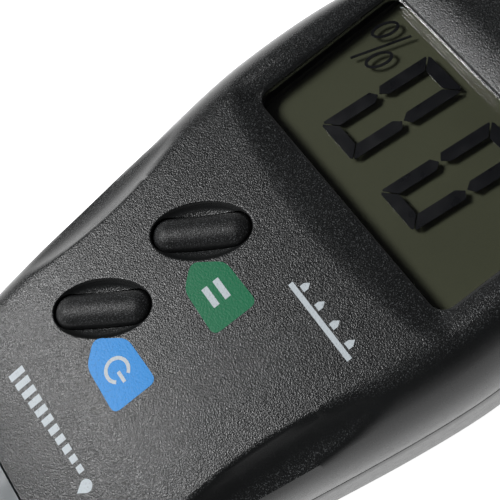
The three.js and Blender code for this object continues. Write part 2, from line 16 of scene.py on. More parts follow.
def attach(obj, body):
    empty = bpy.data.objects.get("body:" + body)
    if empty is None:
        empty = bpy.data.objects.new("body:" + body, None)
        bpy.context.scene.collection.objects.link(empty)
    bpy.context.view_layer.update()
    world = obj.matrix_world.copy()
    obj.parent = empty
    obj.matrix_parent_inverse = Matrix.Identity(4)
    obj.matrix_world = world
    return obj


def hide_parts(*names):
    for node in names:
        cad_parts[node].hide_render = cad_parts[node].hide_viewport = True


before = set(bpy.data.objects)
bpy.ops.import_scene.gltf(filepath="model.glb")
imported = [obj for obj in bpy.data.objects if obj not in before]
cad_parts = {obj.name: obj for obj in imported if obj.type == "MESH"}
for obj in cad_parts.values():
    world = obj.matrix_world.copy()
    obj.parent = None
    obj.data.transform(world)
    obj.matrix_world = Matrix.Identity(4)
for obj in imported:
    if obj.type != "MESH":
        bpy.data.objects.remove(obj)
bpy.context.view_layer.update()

MM = 0.001

# ---------------------------------------------------------------- driving dimensions
HALF_WIDTH = 32.1
HEIGHT = 27.0
WALL = 2.0
FACE_EXTRA = 0.2                # the face is this much thicker than the walls
GAP = 0.3
REAR_Y = -79.0
TIP_Y = 79.0
WIDEST_Y = -32.0
SEAM_Y = 31.0
SEAM_HALF = 23.0
SPLIT_Z = 13.5
FACE_EDGE = (11.5, 8.0)         # height and width of the rounded edge round the face
BACK_EDGE = (3.0, 2.0)
EDGE_FADE_Y = -14.0             # past here the case's edges turn into the cap's
MATING_EDGE = (0.25, 0.25)
SLOPE_Y = 4.0
SEAM_TOP = 24.8
BACK_RISE_Y = 14.0
SEAM_BOTTOM = 1.2

NECK_HALF, NECK_Z0, NECK_Z1, NECK_END, NECK_CORNER = 20.9, 3.3, 22.5, 45.0, 4.0
NECK_ROOT, NECK_CHAMFER = 0.5, 0.8
CAP_WALL, CAP_END_WALL = 1.8, 2.4
CAP_END_TOP, CAP_END_BOTTOM = 21.5, 3.8
CAP_EDGE = (5.5, 4.0)
CAP_POLE_Y, CAP_STRAIGHT_Y = 60.0, 54.0
LIP_WIDTH, LIP_BELOW, LIP_ABOVE = 1.6, 3.0, 1.6     # the ledge that locates the two shells

WINDOW_HALF, WINDOW_Y0, WINDOW_Y1, WINDOW_CORNER = 21.9, -57.1, -31.0, 2.2
RIM_DEPTH = 1.2                 # how far the window rim lies below the face
RIM_RADIUS = 0.22
SLOPE_TOP, SLOPE_SIDE, SLOPE_BOTTOM = 7.0, 4.4, 5.5
SLOPE_BOW = 0.006               # how much shorter the top slope gets away from the middle
SLOPE_EASE = 1.6
LIP_Z = 24.9                    # underside of the lip round the window
PANE_Z0, PANE_FLANGE_Z, PANE_Z1, PANE_FLANGE = 24.0, 24.6, 25.3, 1.6
PANE_PLAY, PANE_CHAMFER = 0.05, 0.08
CUT_FLOOR = 20                  # cuts through the face start here, under it

GRIP_RADIUS, GRIP_X, GRIP_Z, GRIP_TAPER = 9.5, 28.6, 32.8, 0.08
GRIP_MID, GRIP_HALF, GRIP_LIFT = -1.5, 19.0, 2.1
GRIP_LEAN = (0.46, 0.89)        # the way the bar that presses a grip leaves the face at its ends
GRIP_CREASE = 0.35

BUTTON_X, BUTTON_TURN, BUTTON_LENGTH, BUTTON_WIDTH, BUTTON_TOP = 9.45, 55.0, 15.4, 5.4, 27.7
BUTTON_RISE = 2.05              # height of the rounded top of a button
BUTTONS = {"hold": -12.3, "power": 6.0}
FLANGE_REACH, FLANGE_Z0, FLANGE_Z1 = 0.9, 23.7, 24.4
DISH_LONG, DISH_SHORT, DISH_DEPTH = 7.7, 4.35, 1.5
DISH_RIM = 0.32
SLOT_GAP = 0.06

DOOR_HALF, DOOR_Y0, DOOR_Y1, DOOR_Z1, DOOR_CORNER = 15.0, -32.0, 26.0, 1.7, 3.0
GROOVES, GROOVE_PITCH, GROOVE_REACH, GROOVE_RADIUS = 5, 2, 5.5, 0.5
LATCH_HALF, LATCH_TOP = 5, 6
TRAY_WALL, TRAY_FOOT, TRAY_TOP, TRAY_END = 1.5, 1, 12, 16
SCREWS = [(-19, -65.5), (19, -65.5), (-19, 22.5), (19, 22.5)]
SCREW_HEAD_Z = (2.6, 4.4)
SCREW_RECESS_REACH, SCREW_RECESS_HALF, SCREW_RECESS_DEPTH = 1.6, 0.35, 0.8
BOSS_RADIUS, BOSS_BORE, BOSS_WELL = 3.2, 1.7, 3.1
FRONT_BOSS_Z = (12, HEIGHT - WALL - 0.8)
REAR_BOSS_Z = (0.8, 11.7)
FRONT_BORE_Z = (5, 18.5)
PIN_X = (-13.5, -4.5, 4.5, 13.5)
PIN_Z = 12.9
BLOCK_END = 57.0
PIN_ROOT_Y = 46
PIN_TIP_Y = 66.5

SEGMENT_Z = (23.45, 23.6)       # the display's segments stand on its front glass
DIGIT_WIDTH, DIGIT_HEIGHT, DIGIT_LEAN, STROKE = 8.0, 18.8, 0.105, 1.95
DIGITS = [(12.9, -35.95), (-1.5, -35.9)]
PERCENT_RINGS = [(15.4, -48.9), (18.8, -52.7)]

LABEL = [(-4.8, 3.8), (-4.8, -3.9), (3.2, -3.7), (6.4, 0.4), (3.5, 3.5)]
LABEL_CORNER = 1.3
LABELS = {"hold": -8.8, "power": 9.0}
MARK_X = 0.2                    # where the mark on a label has its middle
INK_TOP = 0.02
INK_Z = (0.004, INK_TOP)        # bottom and top of the printing, above the face
MARK_Z = (INK_TOP + 0.002, INK_TOP + 0.014)


# ---------------------------------------------------------------- mesh helpers
def make_object(name, vertices, faces):
    """A mesh object from vertices in millimetres, with its normals outwards."""
    mesh = bpy.data.meshes.new(name)
    mesh.from_pydata((np.asarray(vertices, dtype=float) * MM).tolist(), [], faces)
    bm = bmesh.new()
    bm.from_mesh(mesh)
    bmesh.ops.remove_doubles(bm, verts=bm.verts, dist=2e-7)
    bmesh.ops.recalc_face_normals(bm, faces=bm.faces)
    bm.to_mesh(mesh)
    bm.free()
    obj = bpy.data.objects.new(name, mesh)
    bpy.context.scene.collection.objects.link(obj)
    return obj


def loft(name, loops):
    """A closed solid through a row of loops with the same number of points."""
    loops = [np.asarray(loop, dtype=float) for loop in loops]
    count = len(loops[0])
    faces = []
    for k in range(len(loops) - 1):
        for i in range(count):
            j = (i + 1) % count
            faces.append((k * count + i, k * count + j, (k + 1) * count + j, (k + 1) * count + i))
    last = (len(loops) - 1) * count
    faces.append(tuple(range(count)))
    faces.append(tuple(last + i for i in range(count)))
    return make_object(name, np.concatenate(loops), faces)


def level(points, z):
    """Plan points at one height, or at a height for each point."""
    points = np.asarray(points, dtype=float)
    return np.column_stack([points, np.broadcast_to(z, len(points))])


def joined(objects, name="joined"):
    """One object made of several that don't touch."""
    bm = bmesh.new()
    for obj in objects:
        bm.from_mesh(obj.data)
    mesh = bpy.data.meshes.new(name)
    bm.to_mesh(mesh)
    bm.free()
    for obj in objects:
        bpy.data.objects.remove(obj)
    result = bpy.data.objects.new(name, mesh)
    bpy.context.scene.collection.objects.link(result)
    return result


def combine(obj, other, operation):
    """Applies a boolean to obj and deletes the other object."""
    modifier = obj.modifiers.new("boolean", "BOOLEAN")
    modifier.operation = operation
    modifier.solver = "EXACT"
    modifier.object = other
    bpy.context.view_layer.update()
    graph = bpy.context.evaluated_depsgraph_get()
    mesh = bpy.data.meshes.new_from_object(obj.evaluated_get(graph))
    obj.modifiers.clear()
    old = obj.data
    obj.data = mesh
    mesh.name = obj.name
    bpy.data.meshes.remove(old)
    bpy.data.objects.remove(other)


def cut(obj, *others):
    combine(obj, joined(others), "DIFFERENCE")


def add(obj, *others):
    combine(obj, joined(others), "UNION")


def trim(obj, point, normal):
    """Cuts off what lies beyond a plane and closes the cut."""
    bm = bmesh.new()
    bm.from_mesh(obj.data)
    geometry = bm.verts[:] + bm.edges[:] + bm.faces[:]
    bmesh.ops.bisect_plane(bm, geom=geometry, plane_co=Vector(point) * MM, plane_no=normal, clear_outer=True)
    open_edges = [edge for edge in bm.edges if edge.is_boundary]
    bmesh.ops.holes_fill(bm, edges=open_edges)
    bmesh.ops.recalc_face_normals(bm, faces=bm.faces)
    bm.to_mesh(obj.data)
    bm.free()


def finish_mesh(obj, angle=35):
    """Smooth shading with creases where faces meet at more than an angle."""
    bm = bmesh.new()
    bm.from_mesh(obj.data)
    bmesh.ops.remove_doubles(bm, verts=bm.verts, dist=1e-6)
    bmesh.ops.dissolve_degenerate(bm, edges=bm.edges, dist=1e-7)
    bmesh.ops.recalc_face_normals(bm, faces=bm.faces)
    bm.to_mesh(obj.data)
    bm.free()
    obj.data.shade_smooth()
    obj.data.set_sharp_from_angle(angle=math.radians(angle))


def piece(obj, body, material, *nodes, angle=35):
    """A finished piece: shaded, given its material, riding on a body in place of some nodes."""
    finish_mesh(obj, angle)
    obj.data.materials.clear()
    obj.data.materials.append(material)
    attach(obj, body)
    if nodes:
        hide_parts(*nodes)
    return obj


# ---------------------------------------------------------------- outlines
def bezier(p0, p1, p2, p3, count):
    t = np.linspace(0, 1, count)[:, None]
    p0, p1, p2, p3 = (np.array(p, dtype=float) for p in (p0, p1, p2, p3))
    return (1 - t) ** 3 * p0 + 3 * (1 - t) ** 2 * t * p1 + 3 * (1 - t) * t * t * p2 + t ** 3 * p3


def resample(points, step):
    """The same curve with stations a constant length apart, and the inward normal at each."""
    lengths = np.concatenate([[0], np.cumsum(np.linalg.norm(np.diff(points, axis=0), axis=1))])
    count = int(round(lengths[-1] / step)) + 1
    where = np.linspace(0, lengths[-1], count)
    curve = np.column_stack([np.interp(where, lengths, points[:, k]) for k in (0, 1)])
    tangent = np.gradient(curve, axis=0)
    tangent /= np.linalg.norm(tangent, axis=1)[:, None]
    normal = np.column_stack([-tangent[:, 1], tangent[:, 0]])
    return curve, normal


def case_outline(inset=0.0, step=0.5):
    """Right half of the case outline, from the rear end to a little past the cap seam."""
    w, neck, rear = HALF_WIDTH - inset, SEAM_HALF - inset, REAR_Y + inset
    back = bezier((0, rear), (16, rear), (w, rear + 5), (w, WIDEST_Y), 400)
    side = bezier((w, WIDEST_Y), (w, -20), (w - 5.5, 8), (neck, SEAM_Y), 400)
    lean = (side[-1] - side[-2]) / np.linalg.norm(side[-1] - side[-2])
    curve, normal = resample(np.concatenate([back, side[1:], [side[-1] + 8 * lean]]), step)
    normal[0] = (0, 1)
    return curve, normal


def cap_outline(inset=0.0, reach=TIP_Y, step=0.5):
    """Right half of the cap outline, from the tip back to a little before the seam."""
    w = SEAM_HALF - inset
    tip = bezier((0, reach), (w - 12, reach), (w - 5, reach - 1.5), (w - 3.4, reach - 9), 200)
    side = bezier((w - 3.4, reach - 9), (w - 2, reach - 20), (w - 1.4, SEAM_Y + 15), (w, SEAM_Y), 400)
    curve, normal = resample(np.concatenate([tip, side[1:], [side[-1] + (0, -8)]]), step)
    normal = -normal
    normal[0] = (0, -1)
    return curve, normal


def rounded_rect(half_x, y0, y1, corner, steps=8):
    points = []
    for cx, cy, start in ((half_x - corner, y0 + corner, -90), (half_x - corner, y1 - corner, 0),
                          (-half_x + corner, y1 - corner, 90), (-half_x + corner, y0 + corner, 180)):
        for angle in np.radians(np.linspace(start, start + 90, steps + 1)):
            points.append((cx + corner * math.cos(angle), cy + corner * math.sin(angle)))
    return np.array(points)


def round_corners(points, radius, steps=6):
    """A polygon with each corner replaced by a curve that starts radius before it."""
    points = np.asarray(points, dtype=float)
    result = []
    for k, corner in enumerate(points):
        before, after = points[k - 1] - corner, points[(k + 1) % len(points)] - corner
        a = corner + before / np.linalg.norm(before) * radius
        b = corner + after / np.linalg.norm(after) * radius
        for t in np.linspace(0, 1, steps + 1):
            result.append((1 - t) ** 2 * a + 2 * t * (1 - t) * corner + t * t * b)
    return np.array(result)


def capsule_outline(reach, radius, arc_steps=16, straight_steps=10):
    """A bar with round ends, along X: its points and the middle point that each belongs to."""
    rim, core = [], []
    straight = np.linspace(-reach, reach, straight_steps + 1)
    for side, start, xs in ((1, -90, straight), (-1, 90, straight[::-1])):
        for x in xs[:-1]:
            rim.append((x, -side * radius))
            core.append((x, 0))
        for angle in np.radians(np.linspace(start, start + 180, arc_steps, endpoint=False)):
            rim.append((side * reach + radius * math.cos(angle), radius * math.sin(angle)))
            core.append((side * reach, 0))
    return np.array(rim), np.array(core)


def turned(points, degrees, at):
    """Plan points turned about the origin and moved."""
    a = math.radians(degrees)
    turn = np.array([[math.cos(a), math.sin(a)], [-math.sin(a), math.cos(a)]])
    return np.asarray(points) @ turn + np.asarray(at)


# ---------------------------------------------------------------- the surface of the case
def face_height(y):
    fall = np.clip(np.asarray(y, dtype=float) - SLOPE_Y, 0, None) / (SEAM_Y - SLOPE_Y)
    return HEIGHT - (HEIGHT - SEAM_TOP) * fall ** 2


def back_height(y):
    rise = np.clip(np.asarray(y, dtype=float) - BACK_RISE_Y, 0, None) / (SEAM_Y - BACK_RISE_Y)
    return SEAM_BOTTOM * rise ** 2


def fixed(edge):
    """An edge that is the same all round."""
    return lambda y: np.broadcast_to(edge, (len(y), 2))


def fading(edge):
    """An edge that turns into the cap's edge on the way to the cap seam."""
    def at(y):
        t = np.clip((y - EDGE_FADE_Y) / (SEAM_Y - EDGE_FADE_Y), 0, 1)[:, None]
        return (1 - t) * np.array(edge) + t * np.array(CAP_EDGE)
    return at


def soft_min(a, b, width):
    """The lower of two heights, with the crease between them rounded off."""
    near = np.clip(width - np.abs(a - b), 0, None) / width
    return np.minimum(a, b) - near ** 2 * width / 4


def grip_floor(x, y, extra=0.0):
    """Underside of the bars that the two thumb grips are pressed by."""
    t = (y - GRIP_MID) / GRIP_HALF
    rise = GRIP_LIFT * np.clip(t, -1.6, 1.6) ** 2
    centre = GRIP_X - GRIP_TAPER * (y - GRIP_MID) + GRIP_LEAN[0] * rise
    radius = GRIP_RADIUS + extra
    across = np.clip(np.abs(np.abs(x) - centre) / radius, 0, 1)
    return GRIP_Z + GRIP_LEAN[1] * rise - radius * np.sqrt(1 - across ** 2)


def bezel_depth(x, y):
    """How far the face dips towards the display window."""
    top = (y - WINDOW_Y1) / (SLOPE_TOP - SLOPE_BOW * x ** 2)
    bottom = (WINDOW_Y0 - y) / SLOPE_BOTTOM
    side = (np.abs(x) - WINDOW_HALF) / SLOPE_SIDE
    away = np.hypot(np.clip(np.maximum(top, bottom), 0, None), np.clip(side, 0, None))
    return RIM_DEPTH * np.clip(1 - away, 0, 1) ** SLOPE_EASE


def carve_face(x, y, z):
    """The outside of the face: dipped round the window and pressed in at the grips."""
    z = z - bezel_depth(x, y)
    return soft_min(z, grip_floor(x, y), GRIP_CREASE)


def carve_room(x, y, z):
    """The inside of the face, which keeps its distance from the outside."""
    return np.minimum(z - bezel_depth(x, y), grip_floor(x, y, WALL))


def keep(x, y, z):
    """A surface that nothing is carved out of."""
    return z


def pillow(name, outline, ends, top, bottom, top_edge, bottom_edge,
           carve=keep, inner_step=0.45, edge_steps=14):
    """A closed body over an outline, with a rounded edge round its top and its bottom.

    ends is the y of the closed end, the y of the middle that its sections fan out from, and the y
    where they become straight. top and bottom give heights at y, and the edges their size at y.
    """
    curve, normal = outline
    y_tip, y_pole, y_straight = ends
    travelled = (curve[:, 1] - y_tip) / (y_straight - y_tip)
    spine_y = np.where(travelled < 1, y_pole + (y_straight - y_pole) * travelled, curve[:, 1])

    def section(edge, surface, steps, sign, carving):
        height, width = edge(curve[:, 1]).T
        angles = np.linspace(0, math.pi / 2, edge_steps if height.max() > 1 else 4)
        inner = curve + normal * width[:, None]
        columns = []
        for f in np.linspace(0, 1, steps, endpoint=False):
            x, y = inner[:, 0] * f, spine_y * (1 - f) + inner[:, 1] * f
            columns.append((x, y, carving(x, y, surface(y))))
        for a in angles:
            x, y = (curve + normal * (width * (1 - math.sin(a)))[:, None]).T
            columns.append((x, y, carving(x, y, surface(y) - sign * height * (1 - math.cos(a)))))
        return [np.column_stack(c) for c in columns]

    upper = section(top_edge, top, int(0.8 * HALF_WIDTH / inner_step), 1, carve)
    lower = section(bottom_edge, bottom, 12, -1, keep)
    wall = []
    for f in (0.25, 0.5, 0.75):
        wall.append(upper[-1] * (1 - f) + lower[-1] * f)
    right = np.stack(upper + wall + lower[::-1], axis=1)
    right[0, :, 0] = 0
    left = right[:0:-1] * (-1, 1, 1)
    grid = np.concatenate([left, right])
    rows, columns = grid.shape[:2]
    index = np.arange(rows * columns).reshape(rows, columns)
    quads = np.stack([index[:-1, :-1], index[:-1, 1:], index[1:, 1:], index[1:, :-1]], axis=-1)
    faces = quads.reshape(-1, 4).tolist()
    faces.append(index[0].tolist() + index[-1][-2:0:-1].tolist())
    return make_object(name, grid.reshape(-1, 3), faces)


CASE_ENDS = (REAR_Y, -50.0, -45.0)


def flat_at(z):
    """A surface at one height."""
    return lambda y: np.full(np.shape(y), float(z))


# ---------------------------------------------------------------- shared bodies
def box(x0, x1, y0, y1, z0, z1):
    plan = [(x0, y0), (x1, y0), (x1, y1), (x0, y1)]
    return loft("box", [level(plan, z0), level(plan, z1)])


def prism(plan, z0, z1):
    return loft("prism", [level(plan, z0), level(plan, z1)])


def post(x, y, radius, z0, z1, sides=48):
    angles = np.linspace(0, 2 * math.pi, sides, endpoint=False)
    return prism(np.column_stack([x + radius * np.cos(angles), y + radius * np.sin(angles)]), z0, z1)


def neck_bar(inset, y0, y1, chamfer=0.0):
    """The spigot that the cap slides over, along Y, with a chamfer at its far end."""
    loops = []
    for y, shrink in ((y0, 0), (y1 - chamfer, 0), (y1, chamfer)):
        if y == y1 and not chamfer:
            continue
        k = inset + shrink
        shape = rounded_rect(NECK_HALF - k, NECK_Z0 + k, NECK_Z1 - k, max(NECK_CORNER - k, 1))
        loops.append(np.column_stack([shape[:, 0], np.full(len(shape), y), shape[:, 1]]))
    return loft("neck", loops)


def rim_band(inset_out, inset_in, z0, z1):
    """A band along the inside of the case wall, open at the cap end."""
    curve, normal = case_outline(0, 1.0)
    inside = curve[:, 1] < SEAM_Y - WALL - 4
    curve, normal = curve[inside], normal[inside]
    loops = []
    for side in (-1, 1):
        order = range(len(curve) - 1, 0, -1) if side < 0 else range(len(curve))
        for k in order:
            a, b = curve[k] + normal[k] * inset_out, curve[k] + normal[k] * inset_in
            loops.append([(side * a[0], a[1], z0), (side * b[0], b[1], z0),
                          (side * b[0], b[1], z1), (side * a[0], a[1], z1)])
    return loft("band", loops)


def window_body(grow, levels):
    """The display opening: a rounded rectangle through levels of (more growth, height)."""
    loops = []
    for extra, z in levels:
        k = grow + extra
        plan = rounded_rect(WINDOW_HALF + k, WINDOW_Y0 - k, WINDOW_Y1 + k, WINDOW_CORNER + k)
        loops.append(level(plan, z))
    return loft("window", loops)


def window_cutter():
    """The hole for the display, with a round at its rim that runs out along the slope."""
    rim, radius, run_out = HEIGHT - RIM_DEPTH, RIM_RADIUS, 2.0
    levels = [(0, CUT_FLOOR), (0, rim - radius)]
    for a in np.radians([15, 30, 45, 55]):
        levels.append((radius * (1 - math.cos(a)), rim - radius + radius * math.sin(a)))
    out, z = levels[-1]
    levels.append((out + run_out, z + run_out * math.tan(math.radians(35))))
    return window_body(0, levels)


def dish_cutter(y):
    """The oval scoop round a button, with a small round at its rim."""
    angles = np.linspace(0, 2 * math.pi, 96, endpoint=False)
    ellipse = np.column_stack([DISH_LONG * np.cos(angles), DISH_SHORT * np.sin(angles)])
    outward = np.column_stack([DISH_SHORT * np.cos(angles), DISH_LONG * np.sin(angles)])
    outward /= np.linalg.norm(outward, axis=1)[:, None]
    start, radius, run_out = math.radians(80), DISH_RIM, 1.2
    loops = []
    for phi in np.linspace(math.radians(3), start, 16):
        loops.append((ellipse * math.sin(phi), -DISH_DEPTH * math.cos(phi)))
    z0 = -DISH_DEPTH * math.cos(start)
    for a in np.radians([62, 45, 30, 15]):
        plan = ellipse + outward * radius * (math.sin(start) - math.sin(a))
        loops.append((plan, z0 + radius * (math.cos(a) - math.cos(start))))
    plan, z = loops[-1]
    loops.append((plan + outward * run_out, z + run_out * math.tan(math.radians(15))))
    placed = []
    for plan, z in loops:
        plan = turned(plan, BUTTON_TURN, (BUTTON_X, y))
        placed.append(level(plan, z + face_height(plan[:, 1])))
    return loft("dish", placed)


def button_slot(y):
    rim, _ = capsule_outline((BUTTON_LENGTH - BUTTON_WIDTH) / 2, BUTTON_WIDTH / 2 + SLOT_GAP)
    return prism(turned(rim, BUTTON_TURN, (BUTTON_X, y)), CUT_FLOOR, HEIGHT + 2)


# ---------------------------------------------------------------- shells
def front_shell():
    cut_z = SPLIT_Z + GAP / 2
    shell = pillow("front_case", case_outline(), CASE_ENDS, face_height, flat_at(cut_z),
                   fading(FACE_EDGE), fixed(MATING_EDGE), carve_face)
    trim(shell, (0, SEAM_Y, 0), (0, 1, 0))
    room = pillow("room", case_outline(WALL, 1.0), CASE_ENDS,
                  lambda y: face_height(y) - WALL - FACE_EXTRA, flat_at(5),
                  fading(FACE_EDGE), fixed(MATING_EDGE), carve_room, inner_step=0.9, edge_steps=8)
    trim(room, (0, SEAM_Y - WALL, 0), (0, 1, 0))
    cut(shell, room)
    neck = neck_bar(0, SEAM_Y - WALL - NECK_ROOT, NECK_END, NECK_CHAMFER)
    trim(neck, (0, 0, cut_z), (0, 0, -1))
    bosses = [post(x, y, BOSS_RADIUS, *FRONT_BOSS_Z) for x, y in SCREWS]
    add(shell, neck, *bosses)
    hollow = neck_bar(WALL, SEAM_Y - 2 * WALL, NECK_END + 1)
    bores = [post(x, y, BOSS_BORE, *FRONT_BORE_Z) for x, y in SCREWS]
    dishes = [dish_cutter(y) for y in BUTTONS.values()]
    cut(shell, hollow, window_cutter(), *bores, *dishes)
    pocket = window_body(PANE_FLANGE + GAP, [(0, CUT_FLOOR), (0, LIP_Z)])
    cut(shell, pocket, *[button_slot(y) for y in BUTTONS.values()])
    return shell


def rear_shell():
    cut_z = SPLIT_Z - GAP / 2
    shell = pillow("rear_case", case_outline(), CASE_ENDS, flat_at(cut_z), back_height,
                   fixed(MATING_EDGE), fading(BACK_EDGE), inner_step=2.0)
    trim(shell, (0, SEAM_Y, 0), (0, 1, 0))
    room = pillow("room", case_outline(WALL, 1.0), CASE_ENDS,
                  flat_at(20), lambda y: back_height(y) + WALL, fixed(MATING_EDGE), fading(BACK_EDGE),
                  inner_step=2.0, edge_steps=8)
    trim(room, (0, SEAM_Y - WALL, 0), (0, 1, 0))
    cut(shell, room)
    neck = neck_bar(0, SEAM_Y - WALL - NECK_ROOT, NECK_END, NECK_CHAMFER)
    trim(neck, (0, 0, cut_z), (0, 0, 1))
    bosses = [post(x, y, BOSS_RADIUS, *REAR_BOSS_Z) for x, y in SCREWS]
    rail, tray_y = DOOR_HALF + GAP, DOOR_Y0 - GAP
    rails = [box(-rail - TRAY_WALL, -rail, tray_y - TRAY_WALL, TRAY_END, TRAY_FOOT, TRAY_TOP),
             box(rail, rail + TRAY_WALL, tray_y - TRAY_WALL, TRAY_END, TRAY_FOOT, TRAY_TOP)]
    stop = box(-rail + 0.01, rail - 0.01, tray_y - TRAY_WALL, tray_y, TRAY_FOOT, TRAY_TOP)
    add(shell, neck, *bosses, *rails)
    add(shell, stop)
    add(shell, rim_band(WALL - 0.1, WALL + LIP_WIDTH, SPLIT_Z - LIP_BELOW, cut_z - 0.3))
    add(shell, rim_band(WALL + GAP, WALL + LIP_WIDTH, SPLIT_Z - LIP_BELOW - 0.5, SPLIT_Z + LIP_ABOVE))
    hollow = neck_bar(WALL, SEAM_Y - 2 * WALL, NECK_END + 1)
    doorway = rounded_rect(DOOR_HALF + GAP, DOOR_Y0 - GAP, DOOR_Y1 + GAP, DOOR_CORNER + GAP)
    wells = [post(x, y, BOSS_WELL, -1, SCREW_HEAD_Z[1] + GAP) for x, y in SCREWS]
    cut(shell, hollow, prism(doorway, -1, DOOR_Z1 + 1), *wells)
    cut(shell, *[post(x, y, BOSS_BORE, 1, 20) for x, y in SCREWS])
    return shell


def protective_cap():
    y0, reach = SEAM_Y + GAP, TIP_Y - CAP_END_WALL

    def between(a, b, inset):
        return lambda y: a + (b - a) * np.clip((y - SEAM_Y) / (TIP_Y - SEAM_Y), 0, 1) + inset

    cap = pillow("cap_body", cap_outline(), (TIP_Y, CAP_POLE_Y, CAP_STRAIGHT_Y),
                 between(SEAM_TOP, CAP_END_TOP, 0), between(SEAM_BOTTOM, CAP_END_BOTTOM, 0),
                 fixed(CAP_EDGE), fixed(CAP_EDGE), inner_step=0.8)
    trim(cap, (0, y0, 0), (0, -1, 0))
    room = pillow("room", cap_outline(CAP_WALL + 0.2, reach, 1.0), (reach, CAP_POLE_Y - 2, CAP_STRAIGHT_Y),
                  between(SEAM_TOP, CAP_END_TOP, -CAP_WALL), between(SEAM_BOTTOM, CAP_END_BOTTOM, CAP_WALL),
                  fixed(CAP_EDGE), fixed(CAP_EDGE), inner_step=1.6, edge_steps=8)
    trim(room, (0, y0 + 1.5, 0), (0, -1, 0))
    cut(cap, room)
    cut(cap, neck_bar(-GAP, y0 - 1, NECK_END + 1))
    return cap


def window_pane():
    """The clear window: a raised middle that fills the opening, over a flange under its lip."""
    levels = [(PANE_FLANGE, PANE_Z0), (PANE_FLANGE, PANE_FLANGE_Z), (-PANE_PLAY, PANE_FLANGE_Z),
              (-PANE_PLAY, PANE_Z1 - PANE_CHAMFER), (-PANE_PLAY - PANE_CHAMFER, PANE_Z1)]
    return window_body(0, levels)


def battery_door():
    """The door in the back, with finger grooves and a latch behind it."""
    loops = []
    for shrink, z in ((0.35, GAP), (0.1, GAP + 0.1), (0, GAP + 0.35), (0, DOOR_Z1)):
        plan = rounded_rect(DOOR_HALF - shrink, DOOR_Y0 + shrink, DOOR_Y1 - shrink, DOOR_CORNER - shrink)
        loops.append(level(plan, z))
    door = loft("door", loops)
    rim, core = capsule_outline(GROOVE_REACH, GROOVE_RADIUS, 12, 2)
    section = ((1.3, GAP - 0.2), (1, GAP + 0.15), (0.8, GAP + 0.4), (0.3, GAP + 0.5))
    grooves = []
    for k in range(GROOVES):
        at = np.array((0, DOOR_Y0 + 4.5 + GROOVE_PITCH * k))
        grooves.append(loft("groove", [level(core + (rim - core) * grow + at, z) for grow, z in section]))
    cut(door, *grooves)
    add(door, box(-LATCH_HALF, LATCH_HALF, DOOR_Y0 + 0.4, DOOR_Y0 + 1.6, DOOR_Z1 - 0.5, LATCH_TOP))
    return door


# ---------------------------------------------------------------- buttons, pins and screws
def button(name, y):
    """A half-round bar with round ends, standing in its scoop, with a flange inside the case."""
    reach, radius = (BUTTON_LENGTH - BUTTON_WIDTH) / 2, BUTTON_WIDTH / 2
    rim, core = capsule_outline(reach, radius, 24, 24)
    flange, _ = capsule_outline(reach, radius + FLANGE_REACH, 24, 24)
    spring = BUTTON_TOP - BUTTON_RISE
    loops = [level(flange, FLANGE_Z0), level(flange, FLANGE_Z1), level(rim, FLANGE_Z1)]
    for a in np.radians(np.linspace(0, 88, 16)):
        loops.append(level(core + (rim - core) * math.cos(a), spring + BUTTON_RISE * math.sin(a)))
    placed = []
    for loop in loops:
        plan = turned(loop[:, :2], BUTTON_TURN, (BUTTON_X, y))
        placed.append(level(plan, loop[:, 2]))
    return loft(name, placed)


def lathe(name, profile, sides=48):
    """A body turned about Z from (radius, height) points."""
    angles = np.linspace(0, 2 * math.pi, sides, endpoint=False)
    circle = np.column_stack([np.cos(angles), np.sin(angles)])
    return loft(name, [level(circle * r, z) for r, z in profile])


def turn_mesh(obj, matrix):
    obj.data.transform(matrix)
    return obj


def probe_pin(x, number):
    """A hardened needle with a rounded collar, screwed into the block."""
    base = BLOCK_END + GAP
    root = [(1.3, PIN_ROOT_Y), (1.5, PIN_ROOT_Y + 0.3), (1.5, base)]
    collar = [(2.35, base), (2.6, base + 0.2), (2.6, base + 1.35), (2.35, base + 1.65)]
    neck = [(1.5, base + 1.75), (1.15, base + 2.0), (1.0, base + 2.4)]
    point = [(1.0, PIN_TIP_Y - 3.2), (0.93, PIN_TIP_Y - 2.6), (0.5, PIN_TIP_Y - 1.1), (0.06, PIN_TIP_Y)]
    pin = lathe("probe_needle_%d" % number, root + collar + neck + point)
    lay = Matrix.Translation((x * MM, 0, PIN_Z * MM)) @ Matrix.Rotation(math.radians(-90), 4, "X")
    return turn_mesh(pin, lay)


def case_screw(x, y, number):
    """A pan-head screw with a cross recess, seen from the back of the case."""
    z0, z1 = SCREW_HEAD_Z
    head = [(1.9, z0), (2.3, z0 + 0.1), (2.55, z0 + 0.4), (2.6, z0 + 0.8), (2.6, z1)]
    shank = [(1.35, z1), (1.35, 16.5), (0.9, 17.3), (0.3, 17.5)]
    screw = lathe("screw_%d" % number, head + shank, 40)
    long, short = SCREW_RECESS_REACH, SCREW_RECESS_HALF
    for a, b in ((long, short), (short, long)):
        cut(screw, prism(rectangle(-a, a, -b, b), z0 - 1, z0 + SCREW_RECESS_DEPTH))
    return turn_mesh(screw, Matrix.Translation((x * MM, y * MM, 0)))


